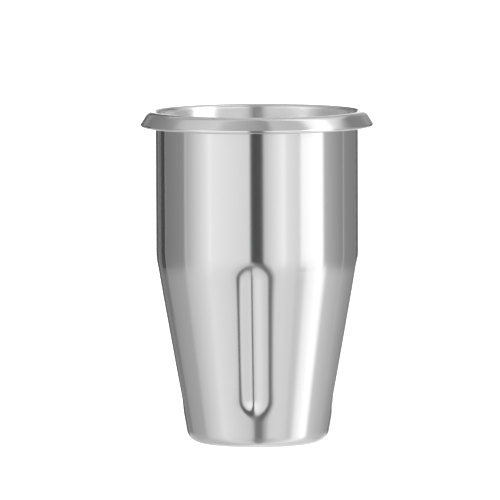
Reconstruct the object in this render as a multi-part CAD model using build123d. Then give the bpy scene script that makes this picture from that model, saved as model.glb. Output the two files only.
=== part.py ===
from build123d import *
from math import atan2, cos, radians, sin, tan
import os

# Drink mixing cup, deep drawn in one piece from stainless steel sheet.
# Millimetres. The origin is the middle of the foot on the table, and +Z is up.

# Sheet and body
sheet = 0.7                # wall of the drawn cup, the same all over
cup_height = 163.8         # table to the crest of the lip
body_radius = 50.1         # outside of the straight upper body
waist_height = 89.9        # where the straight body and the tapered body would meet
taper = 9.95               # slope of the lower body from upright, in degrees
waist_blend = 68.0         # radius that eases the straight body into the taper
foot_bend = 6.5            # outside radius between the lower body and the foot

# Raised middle of the base, which leaves a ring to stand on
foot_ring = 2.8            # width of that ring
panel_rise = 1.0
panel_slope_run = 3.0      # width of the slope from the ring up to the panel
panel_bend = 2.0           # tighter face of both bends

# Lip: out over a crest, down a slope, with its edge curled under
lip_reach = 7.4            # how far the lip stands out from the body
lip_drop = 6.5             # crest down to the widest point of the lip
lip_slope = 32.0           # slope of the lip from upright, in degrees
mouth_bend = 2.2           # top face, from the mouth's wall up to the crest
edge_curl = 1.15           # outside radius of the curled edge
edge_return = 0.5          # straight end of the sheet past the curl

# Grip flutes pressed into the lower body
flute_count = 4
flute_depth = 2.9          # wall to the root of the flute
flute_side_slope = 22.0    # slope of the flute's sides from the wall, in degrees
flute_root = 6.0           # outside radius along the bottom of the flute
flute_shoulder = 8.0       # outside radius where the wall turns into a flute
flute_foot_gap = 23.7      # table to the centre of the flute's rounded lower end
flute_waist_gap = 5.6      # waist down to the centre of its rounded upper end

# Worked out from the sizes above
foot_radius = body_radius - waist_height * tan(radians(taper))
ring_radius = foot_radius - foot_bend * tan(radians(90 - taper) / 2) - foot_ring
mouth_radius = body_radius - sheet
crest_radius = mouth_radius + mouth_bend
joint_height = (waist_height + cup_height) / 2
seam_turn = 180 / flute_count      # keeps the seams of the turned faces between flutes


def body_line(inset):
    """Section of the body's outside face, moved into the sheet by inset."""
    panel_shift = inset * tan(atan2(panel_rise, panel_slope_run) / 2)
    foot_shift = inset * tan(radians(90 - taper) / 2)
    waist_shift = inset * tan(radians(taper) / 2)
    return FilletPolyline(
        (0, panel_rise + inset),
        (ring_radius - panel_slope_run + panel_shift, panel_rise + inset),
        (ring_radius + panel_shift, inset),
        (foot_radius - foot_shift, inset),
        (body_radius - inset, waist_height + waist_shift),
        (body_radius - inset, joint_height),
        radius=[
            panel_bend + inset,
            panel_bend + sheet - inset,
            foot_bend - inset,
            waist_blend - inset,
        ],
    )


def lip_line(depth):
    """Section of the lip's top face, moved into the sheet by depth."""
    slope = radians(lip_slope)
    across = body_radius + lip_reach - edge_curl - crest_radius
    crest_bend = (across * cos(slope) - lip_drop * sin(slope) + edge_curl) / (1 - sin(slope))
    straight = across * sin(slope) + (lip_drop - crest_bend) * cos(slope)
    mouth = mouth_radius + depth
    wall = Line((mouth, joint_height), (mouth, cup_height - mouth_bend))
    rise = JernArc(wall @ 1, wall % 1, mouth_bend - depth, -90)
    crest = JernArc(rise @ 1, rise % 1, crest_bend - depth, lip_slope - 90)
    flange = Line(crest @ 1, crest @ 1 + (crest % 1) * straight)
    curl = JernArc(flange @ 1, flange % 1, edge_curl - depth, -90 - lip_slope)
    end = Line(curl @ 1, curl @ 1 + (curl % 1) * edge_return)
    return wall + rise + crest + flange + curl + end


def turned(section):
    """Solid of revolution from a section drawn in radius and height."""
    return Rot(0, 0, seam_turn) * revolve(Plane.XZ * section, Axis.Z)


def body_plug(inset):
    """Solid inside one face of the sheet, from the base up to the lip's joint."""
    line = body_line(inset)
    section = line + Polyline(line @ 1, (0, joint_height), line @ 0)
    return turned(make_face(section))


def lip():
    """Top of the body with its lip, which stands on the joint."""
    top = lip_line(0)
    under = lip_line(sheet)
    section = top + Line(top @ 1, under @ 1) + under + Line(under @ 0, top @ 0)
    return turned(make_face(section))


def flute_tool(growth):
    """Pressing tool of the flute on +X, grown by the sheet for the inside face."""
    slope = radians(flute_side_slope)
    root = flute_root + growth
    centre = flute_root - flute_depth
    tip = (0, centre - root)
    middle = (root * sin(slope / 2), centre - root * cos(slope / 2))
    leave = (root * sin(slope), centre - root * cos(slope))
    flank = flute_root + flute_shoulder
    edge = (leave[0] + flank, leave[1] + flank * tan(slope))
    half = make_face(ThreePointArc(tip, middle, leave) + Polyline(leave, edge, (0, edge[1]), tip))

    # A straight bar with a turned end, laid along the tapered wall
    lean = radians(taper)
    length = (waist_height - flute_waist_gap - flute_foot_gap) / cos(lean)
    bar = extrude(Plane.YZ * (half + mirror(half, Plane.YZ)), length)
    end = revolve(Plane.XZ * half, Axis.Z)
    wall = Plane(
        origin=(body_radius - (waist_height - flute_foot_gap) * tan(lean), 0, flute_foot_gap),
        x_dir=(sin(lean), 0, cos(lean)),
        z_dir=(cos(lean), 0, -sin(lean)),
    )
    return wall * (bar + end + Pos(length, 0, 0) * end)


def fluted(plug, growth):
    """Plug with its flutes pressed in and their shoulders rounded."""
    tools = [Rot(0, 0, 360 / flute_count * i) * flute_tool(growth) for i in range(flute_count)]
    pressed = plug - tools
    shoulders = new_edges(plug, *tools, combined=pressed)
    return fillet(shoulders, flute_shoulder - growth)


mixing_cup = fluted(body_plug(0), 0) - fluted(body_plug(sheet), sheet) + lip()

os.makedirs("parts", exist_ok=True)
export_step(mixing_cup, "parts/mixing_cup.step")
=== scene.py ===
from math import atan2, cos, degrees, hypot, pi, radians, sin, sqrt, tan

import bmesh
import bpy
from mathutils import Matrix, Vector


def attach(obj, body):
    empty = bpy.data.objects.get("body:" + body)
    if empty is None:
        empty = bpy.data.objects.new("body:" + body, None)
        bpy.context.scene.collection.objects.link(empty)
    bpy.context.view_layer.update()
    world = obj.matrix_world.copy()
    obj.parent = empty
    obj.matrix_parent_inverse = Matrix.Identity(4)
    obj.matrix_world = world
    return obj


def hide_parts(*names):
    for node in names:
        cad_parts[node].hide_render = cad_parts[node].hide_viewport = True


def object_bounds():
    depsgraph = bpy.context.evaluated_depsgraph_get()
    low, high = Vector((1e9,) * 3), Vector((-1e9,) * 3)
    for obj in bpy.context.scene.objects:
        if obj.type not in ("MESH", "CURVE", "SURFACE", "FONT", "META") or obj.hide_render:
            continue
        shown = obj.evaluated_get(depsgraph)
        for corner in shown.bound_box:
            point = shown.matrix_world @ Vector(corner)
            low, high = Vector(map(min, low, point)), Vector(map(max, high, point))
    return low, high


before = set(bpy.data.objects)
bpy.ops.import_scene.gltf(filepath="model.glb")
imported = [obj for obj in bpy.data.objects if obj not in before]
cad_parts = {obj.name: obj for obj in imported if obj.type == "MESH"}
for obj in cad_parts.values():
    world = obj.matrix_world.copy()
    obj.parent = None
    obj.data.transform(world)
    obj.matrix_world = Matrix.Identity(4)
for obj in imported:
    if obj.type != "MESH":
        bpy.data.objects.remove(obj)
cadLow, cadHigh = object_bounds()
print("frame loaded")

mm = 0.001

# The cup, in millimetres: one sheet, drawn, bent and pressed
cup = {
    "sheet": 0.7,
    "height": (cadHigh.z - cadLow.z) / mm,
    "bodyRadius": 50.1,
    "waistHeight": 89.9,
    "taper": 9.95,          # degrees from upright
    "waistBlend": 68.0,
    "footBend": 6.5,
    "footRing": 2.8,
    "panelRise": 1.0,
    "panelSlopeRun": 3.0,
    "panelBend": 2.0,
    "lipRadius": cadHigh.x / mm,
    "lipDrop": 6.5,
    "lipSlope": 32.0,       # degrees from upright
    "mouthBend": 2.2,
    "polishFrom": 0.22,     # from the mouth's wall outwards, where the lip's polish starts
    "edgeCurl": 1.15,
    "edgeReturn": 0.5,
}

# The flutes pressed into the lower body, in millimetres
flutes = {
    "count": 4,
    "depth": 2.77,
    "sideSlope": 22.0,      # degrees from the wall
    "root": 4.9,
    "leftShoulder": 7.2,    # seen from outside: the tool bore harder on this side
    "rightShoulder": 12.3,
    "endShoulder": 18.0,    # round both ends, where the press eases out
    "easeReach": 1.25,      # half lengths from a flute's middle at which that shoulder is full
    "easePower": 4,         # how late it sets in
    "upperPoint": 1.70,     # shape of an end in plan: 2 is round and 1 is a straight-sided point
    "lowerPoint": 1.8,
    "upperSoft": 0.55,      # how far that shape is blunted at its tip
    "lowerSoft": 0.2,
    "footGap": 23.7,
    "waistGap": 5.1,
    "pressed": 0.7,         # share of the cup's height that the press can reach
}

# Facets, in millimetres, degrees or counts
facets = {
    "outsideRow": 1.0,      # height of a row on the fluted wall
    "insideRow": 1.6,
    "plainRow": 12.0,       # and on straight stretches without flutes
    "bendStep": 8.0,        # degrees of a bend in one row
    "leastInBend": 3,
    "fineHalfWidth": 17.0,  # degrees round the cup, each side of a flute, with fine facets
    "fineSteps": 56,
    "plainSteps": 15,       # from there to the quarter's edge
    "weld": 0.001,
}

finishes = ("outside", "inside", "lip")


def sheetMoves():
    # The sheet's outside face, from the middle of the base to its cut edge, in straights and bends
    c = cup
    lean, slope = radians(c["taper"]), radians(c["lipSlope"])
    panelTurn = atan2(c["panelRise"], c["panelSlopeRun"])
    footTurn = pi / 2 - lean
    footRadius = c["bodyRadius"] - c["waistHeight"] * tan(lean)
    ringRadius = footRadius - c["footBend"] * tan(footTurn / 2) - c["footRing"]
    panelReach = c["panelBend"] * tan(panelTurn / 2)
    ringReach = (c["panelBend"] + c["sheet"]) * tan(panelTurn / 2)
    footReach = c["footBend"] * tan(footTurn / 2)
    waistReach = c["waistBlend"] * tan(lean / 2)
    mouth = c["bodyRadius"] - c["sheet"] + c["mouthBend"]
    across = c["lipRadius"] - c["edgeCurl"] - mouth
    crestBend = (across * cos(slope) - c["lipDrop"] * sin(slope) + c["edgeCurl"]) / (1 - sin(slope))
    flange = across * sin(slope) + (c["lipDrop"] - crestBend) * cos(slope)
    return [
        ("plain", ringRadius - c["panelSlopeRun"] - panelReach),
        ("bend", c["panelBend"], -panelTurn),
        ("plain", hypot(c["panelRise"], c["panelSlopeRun"]) - panelReach - ringReach),
        ("bend", c["panelBend"] + c["sheet"], panelTurn),
        ("plain", c["footRing"] - ringReach),
        ("bend", c["footBend"], footTurn),
        ("fluted", c["waistHeight"] / cos(lean) - footReach - waistReach),
        ("bend", c["waistBlend"], lean),
        ("plain", c["height"] - c["mouthBend"] - c["waistHeight"] - waistReach),
        ("bend", c["mouthBend"] - c["sheet"], -pi / 2),
        ("bend", crestBend - c["sheet"], slope - pi / 2),
        ("plain", flange),
        ("bend", c["edgeCurl"] - c["sheet"], -pi / 2 - slope),
        ("plain", c["edgeReturn"]),
    ]


def drawFace(bm, inset, row):
    # Section of one face of the sheet: inset is 0 for the outside face, and the thickness for the inside
    heading = 0.0
    tip = bm.verts.new((0, 0, cup["panelRise"] + inset))
    for kind, amount, *turn in sheetMoves():
        if kind == "bend":
            turn = turn[0]
            side = 1 if turn > 0 else -1
            left = Vector((-sin(heading), 0, cos(heading))) * side
            radius = amount - side * inset
            steps = max(round(degrees(abs(turn)) / facets["bendStep"]), round(abs(turn) * amount / row),
                        facets["leastInBend"])
            last = bmesh.ops.spin(bm, geom=[tip], cent=tip.co + left * radius, axis=(0, -1, 0),
                                  dvec=(0, 0, 0), angle=turn, steps=steps)["geom_last"]
            tip = next(g for g in last if isinstance(g, bmesh.types.BMVert))
            heading += turn
        else:
            steps = max(round(amount / (row if kind == "fluted" else facets["plainRow"])), 1)
            ahead = Vector((cos(heading), 0, sin(heading))) * amount / steps
            for i in range(steps):
                place = tip.co + ahead
                tip = bmesh.ops.extrude_vert_indiv(bm, verts=[tip])["verts"][0]
                tip.co = place


def pressFlute(verts, inset):
    # Move the wall's points onto the flute that faces +X
    f = flutes
    lean, slope = radians(cup["taper"]), radians(f["sideSlope"])
    length = (cup["waistHeight"] - f["waistGap"] - f["footGap"]) / cos(lean)
    wallRadius = cup["bodyRadius"] - (cup["waistHeight"] - f["footGap"]) * tan(lean)
    root = f["root"] + inset
    centre = f["root"] - f["depth"]
    nearMiddle = 0.1
    start = Vector((wallRadius, 0, f["footGap"]))
    along = Vector((sin(lean), 0, cos(lean)))
    out = Vector((cos(lean), 0, -sin(lean)))
    for vert in verts:
        offset = vert.co - start
        side, up, height = offset.y, offset.dot(along), offset.dot(out)
        if height < -f["root"]:
            continue

        # The tool's height over this point, by the distance from the flute's middle line
        beyond = abs(up - min(max(up, 0), length))
        point, soft = (f[("upper" if up > 0 else "lower") + name] for name in ("Point", "Soft"))
        away = (hypot(side, soft * beyond) ** point + beyond ** point) ** (1 / point)
        if away < root * sin(slope):
            tool = centre - sqrt(root ** 2 - away ** 2)
        else:
            tool = centre - root * cos(slope) + (away - root * sin(slope)) * tan(slope)

        # The shoulder that the sheet takes where the tool leaves it
        crease = tan(slope) + side ** 2 / (wallRadius * max(away, nearMiddle))
        rightward = min(max(0.5 + side / f["root"], 0), 1)
        shoulder = f["leftShoulder"] + (f["rightShoulder"] - f["leftShoulder"]) * rightward
        easing = min(abs(2 * up / length - 1) / f["easeReach"], 1) ** f["easePower"]
        shoulder += (f["endShoulder"] - shoulder) * easing
        blend = (shoulder - inset) * crease ** 2 / 2
        gap = height - tool
        if gap > blend:
            vert.co += out * (tool - height)
        elif gap > -blend:
            vert.co -= out * (gap + blend) ** 2 / (4 * blend)


def turnFace(inset, row):
    # One flute's share of a face of the sheet, with the flute in its middle, and then all of them
    bm = bmesh.new()
    drawFace(bm, inset, row)
    wide, fine = pi / flutes["count"], radians(facets["fineHalfWidth"])
    plain = (wide - fine, facets["plainSteps"])
    bmesh.ops.rotate(bm, verts=bm.verts, cent=(0, 0, 0), matrix=Matrix.Rotation(-wide, 3, "Z"))
    ends = bm.verts[:] + bm.edges[:]
    for angle, steps in (plain, (2 * fine, facets["fineSteps"]), plain):
        ends = bmesh.ops.spin(bm, geom=ends, cent=(0, 0, 0), axis=(0, 0, 1), dvec=(0, 0, 0), angle=angle,
                              steps=steps)["geom_last"]
    pressFlute([v for v in bm.verts if v.co.z < cup["height"] * flutes["pressed"]], inset)
    others = flutes["count"] - 1
    bmesh.ops.spin(bm, geom=bm.verts[:] + bm.edges[:] + bm.faces[:], cent=(0, 0, 0), axis=(0, 0, 1),
                   dvec=(0, 0, 0), angle=2 * wide * others, steps=others, use_duplicate=True)
    bmesh.ops.remove_doubles(bm, verts=bm.verts, dist=facets["weld"])
    polished = cup["bodyRadius"] - cup["sheet"] + cup["polishFrom"]
    for face in bm.faces:
        onLip = face.calc_center_median().xy.length > polished
        finish = "lip" if onLip else "outside" if inset == 0 else "inside"
        face.material_index = finishes.index(finish)
    mesh = bpy.data.meshes.new("sheet_face")
    bm.to_mesh(mesh)
    bm.free()
    return mesh


def makeCup():
    # Both faces of the sheet, joined at the cut edge
    bm = bmesh.new()
    for inset, row in ((0, facets["outsideRow"]), (cup["sheet"], facets["insideRow"])):
        face = turnFace(inset, row)
        bm.from_mesh(face)
        bpy.data.meshes.remove(face)
    cutEdges = [e for e in bm.edges if e.is_boundary]
    bmesh.ops.bridge_loops(bm, edges=cutEdges)
    bmesh.ops.recalc_face_normals(bm, faces=bm.faces)
    for face in bm.faces:
        face.smooth = True
    for edge in cutEdges:
        edge.smooth = False
    bmesh.ops.scale(bm, vec=(mm, mm, mm), verts=bm.verts)
    mesh = bpy.data.meshes.new("drawn_cup")
    bm.to_mesh(mesh)
    bm.free()
    piece = bpy.data.objects.new("drawn_cup", mesh)
    bpy.context.scene.collection.objects.link(piece)
    return piece


def addNode(tree, kind, inputs=(), **settings):
    # inputs maps a socket to a value or to another node's output
    node = tree.nodes.new(kind)
    for name, value in settings.items():
        setattr(node, name, value)
    for key, value in dict(inputs).items():
        if isinstance(value, bpy.types.NodeSocket):
            tree.links.new(value, node.inputs[key])
        else:
            node.inputs[key].default_value = value
    return node


# Satin stainless steel, brushed round the cup: the inside is duller and the lip is smoother than the body.
# The inside's colour is set brighter than the steel's own as painted light, to lift the shade inside the
# cup.
# A quarter turn makes the brushing spread its reflections up and down
steel = {
    "outside": {"colour": 0.66, "roughness": 0.215, "anisotropy": 0.91},
    # painted light: the inside's brighter colour stands in for light that the shaded interior lacks
    "inside": {"colour": 0.93, "roughness": 0.34, "anisotropy": 1.0},
    "lip": {"colour": 0.66, "roughness": 0.16, "anisotropy": 0.8},
}


def makeSteel(finish):
    material = bpy.data.materials.new("satin_steel_" + finish)
    material.use_nodes = True
    tree = material.node_tree
    shader = tree.nodes["Principled BSDF"]
    shader.inputs["Base Color"].default_value = (steel[finish]["colour"],) * 3 + (1,)
    shader.inputs["Metallic"].default_value = 1
    shader.inputs["Roughness"].default_value = steel[finish]["roughness"]
    shader.inputs["Anisotropic"].default_value = steel[finish]["anisotropy"]
    shader.inputs["Anisotropic Rotation"].default_value = 1 / 4
    around = addNode(tree, "ShaderNodeTangent", direction_type="RADIAL", axis="Z")
    tree.links.new(around.outputs[0], shader.inputs["Tangent"])
    return material


piece = makeCup()
for finish in finishes:
    piece.data.materials.append(makeSteel(finish))
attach(piece, "root")
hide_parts("mixing_cup")
print("cup made", len(piece.data.polygons), "faces")

# Camera, fitted to the photograph, in metres and degrees
camera = {
    "azimuth": 3.0,
    "elevation": 5.25,
    "roll": 0.24,
    "distance": 3.4,
    "aimHeight": 0.0825,
    "aimPixel": (257.3, 274.8),
    "imageSide": 500,                # pixels
    "pixelsPerMetre": 2023.2,        # at the aim point
    "sensor": 36,                    # millimetres
    "clipEnd": 20,
}


def makeCamera():
    data = bpy.data.cameras.new("camera")
    data.sensor_width = camera["sensor"]
    data.lens = camera["pixelsPerMetre"] * camera["distance"] * camera["sensor"] / camera["imageSide"]
    data.clip_end = camera["clipEnd"]
    a, e = radians(camera["azimuth"]), radians(camera["elevation"])
    back = Vector((sin(a) * cos(e), -cos(a) * cos(e), sin(e)))
    right = Vector((cos(a), sin(a), 0))
    up = back.cross(right)
    dx, dy = ((pixel - camera["imageSide"] / 2) / camera["pixelsPerMetre"] for pixel in camera["aimPixel"])
    middle = Vector((0, 0, camera["aimHeight"]))
    stand = middle + back * camera["distance"]
    aim = middle - right * dx + up * dy
    shooter = bpy.data.objects.new("camera", data)
    bpy.context.scene.collection.objects.link(shooter)
    shooter.location = stand
    shooter.rotation_mode = "QUATERNION"
    spin = Matrix.Rotation(radians(-camera["roll"]), 4, "Z").to_quaternion()
    shooter.rotation_quaternion = (aim - stand).to_track_quat("-Z", "Y") @ spin
    bpy.context.scene.camera = shooter


makeCamera()

# Light: soft panels stood round the cup in five zones, one above the other, each up to the next one's
# start. Between its panels a zone has the brightness of its room. A panel has where it starts and ends,
# in degrees from the camera's side and positive to its right, how soft its edges are, and how bright it
# is at its start and at its end. It covers the ones before it where they overlap
studio = {
    "floor": {"room": 1.15, "panels": [
        (-158, -94, 8, 0.70, 0.70),
        (-94, -62, 8, 0.75, 1.00),
        (-62, -11, 8, 1.05, 0.80),
        (-11, 16, 8, 0.28, 0.45),
        (16, 38, 8, 0.62, 0.84),
        (38, 59, 8, 0.86, 0.92),
        (59, 88, 6, 1.05, 1.40),
        (88, 157, 8, 1.00, 0.85),
    ]},
    "low": {"from": -36, "blend": 8, "room": 1.10, "panels": [
        (-170, -146, 6, 0.60, 0.75),
        (-146, -94, 5, 0.56, 0.62),
        (-94, -62, 4, 0.78, 1.04),
        (-62, -5, 8, 1.11, 0.78),
        (-6, 9, 4, 0.27, 0.25),          # gap beside the camera
        (9, 17, 5, 0.42, 0.80),
        (17, 46, 5, 0.98, 0.90),
        (46, 59, 3, 0.78, 0.62),
        (59, 88, 3, 1.07, 1.86),
        (88, 146, 4, 0.92, 0.60),
        (146, 157, 4, 0.80, 0.80),
    ]},
    "level": {"from": -14, "blend": 6, "room": 1.50, "panels": [
        (-168, -151, 4, 0.14, 0.08),
        (-151, -144, 2, 0.26, 0.10),
        (-144, -129, 3, 0.12, 0.04),
        (-129, -90, 3, 0.26, 0.37),      # card on the left
        (-90, -56, 5, 0.53, 1.21),       # left softbox
        (-56, -8, 8, 1.21, 0.98),
        (-8, 8, 3, 0.05, 0.12),          # gap beside the camera
        (7, 32, 3, 0.76, 1.36),          # right softbox
        (32, 51, 4, 1.13, 0.93),
        (51, 81, 3, 1.37, 1.60),         # lamp
        (81, 116, 4, 0.62, 0.32),        # card on the right
        (116, 151, 4, 0.36, 0.26),
        (151, 158, 3, 0.10, 0.03),
        (158, 170, 4, 0.07, 0.60),
    ]},
    "over": {"from": 8, "blend": 8, "room": 0.80, "panels": [
        (-175, -158, 3, 0.12, 0.15),
        (-158, -150, 3, 0.40, 0.30),
        (-150, -90, 5, 0.25, 0.48),
        (-90, -62, 4, 0.42, 1.25),
        (-62, -8, 4, 1.40, 1.45),
        (-8, 8, 4, 0.22, 0.15),
        (8, 51, 4, 1.45, 1.40),
        (51, 81, 3, 3.80, 4.40),
        (81, 118, 5, 1.20, 0.30),
        (118, 150, 5, 0.30, 0.34),
        (150, 170, 4, 0.38, 0.55),
    ]},
    "high": {"from": 35, "blend": 8, "room": 0.70, "panels": [
        (-140, -105, 10, 0.51, 0.51),
        (-105, -50, 8, 0.77, 0.94),
        (-50, 20, 10, 0.72, 0.40),
        (20, 68, 8, 0.78, 0.66),
        (68, 98, 3, 1.24, 1.75),
        (98, 140, 5, 1.20, 0.72),
    ]},
}


def makeSurround():
    # World with the panels, plain white to the camera itself
    world = bpy.data.worlds.new("studio")
    bpy.context.scene.world = world
    world.use_nodes = True
    tree = world.node_tree
    tree.nodes.clear()

    def work(operation, *values):
        return addNode(tree, "ShaderNodeMath", enumerate(values), operation=operation).outputs[0]

    def mix(share, first, second):
        return addNode(tree, "ShaderNodeMix", {0: share, 6: first, 7: second}, data_type="RGBA").outputs[2]

    def step(value, angle, edge, before=0, after=1):
        # From one value to another round an angle, over a soft edge
        start, end = radians(angle - edge / 2), radians(angle + edge / 2)
        return addNode(tree, "ShaderNodeMapRange", {0: value, 1: start, 2: end, 3: before, 4: after},
                       interpolation_type="SMOOTHSTEP").outputs[0]

    def grey(brightness):
        return (brightness, brightness, brightness, 1)

    where = addNode(tree, "ShaderNodeTexCoord").outputs["Generated"]
    toCamera = -radians(camera["azimuth"])
    facing = addNode(tree, "ShaderNodeVectorRotate", {"Vector": where, "Angle": toCamera},
                     rotation_type="Z_AXIS").outputs[0]
    x, y, z = addNode(tree, "ShaderNodeSeparateXYZ", {0: facing}).outputs
    turn = work("ARCTAN2", x, work("MULTIPLY", y, -1))
    rise = work("ARCSINE", z)
    for zone in studio.values():
        light = grey(zone["room"])
        for start, end, edge, first, last in zone["panels"]:
            across = addNode(tree, "ShaderNodeMapRange", {0: turn, 1: radians(start), 2: radians(end)})
            panel = mix(across.outputs[0], grey(first), grey(last))
            within = work("MULTIPLY", step(turn, start, edge), step(turn, end, edge, 1, 0))
            light = mix(within, light, panel)
        if "from" in zone:
            light = mix(step(rise, zone["from"], zone["blend"]), whole, light)
        whole = light
    lit = addNode(tree, "ShaderNodeBackground", {0: whole}).outputs[0]
    plain = addNode(tree, "ShaderNodeBackground", {0: grey(1)}).outputs[0]
    straight = addNode(tree, "ShaderNodeLightPath").outputs["Is Camera Ray"]
    both = addNode(tree, "ShaderNodeMixShader", {0: straight, 1: lit, 2: plain}).outputs[0]
    addNode(tree, "ShaderNodeOutputWorld", {0: both})


makeSurround()

# The floor glows so that it is as white as the background, and the steel doesn't mirror it:
# the panels of the floor's zone stand for it there
ground = {"radius": 8, "sides": 96, "grey": 0.8, "roughness": 0.9, "glow": 0.9}


def makeFloor():
    bm = bmesh.new()
    bmesh.ops.create_circle(bm, cap_ends=True, segments=ground["sides"], radius=ground["radius"])
    mesh = bpy.data.meshes.new("floor")
    bm.to_mesh(mesh)
    bm.free()
    floor = bpy.data.objects.new("floor", mesh)
    bpy.context.scene.collection.objects.link(floor)
    material = bpy.data.materials.new("floor_white")
    material.use_nodes = True
    shader = material.node_tree.nodes["Principled BSDF"]
    shader.inputs["Base Color"].default_value = (ground["grey"],) * 3 + (1,)
    shader.inputs["Roughness"].default_value = ground["roughness"]
    shader.inputs["Specular IOR Level"].default_value = 0
    shader.inputs["Emission Color"].default_value = (1, 1, 1, 1)
    shader.inputs["Emission Strength"].default_value = ground["glow"]
    mesh.materials.append(material)
    floor.visible_glossy = False


makeFloor()
bpy.context.scene.view_settings.view_transform = "Standard"
print("studio made")
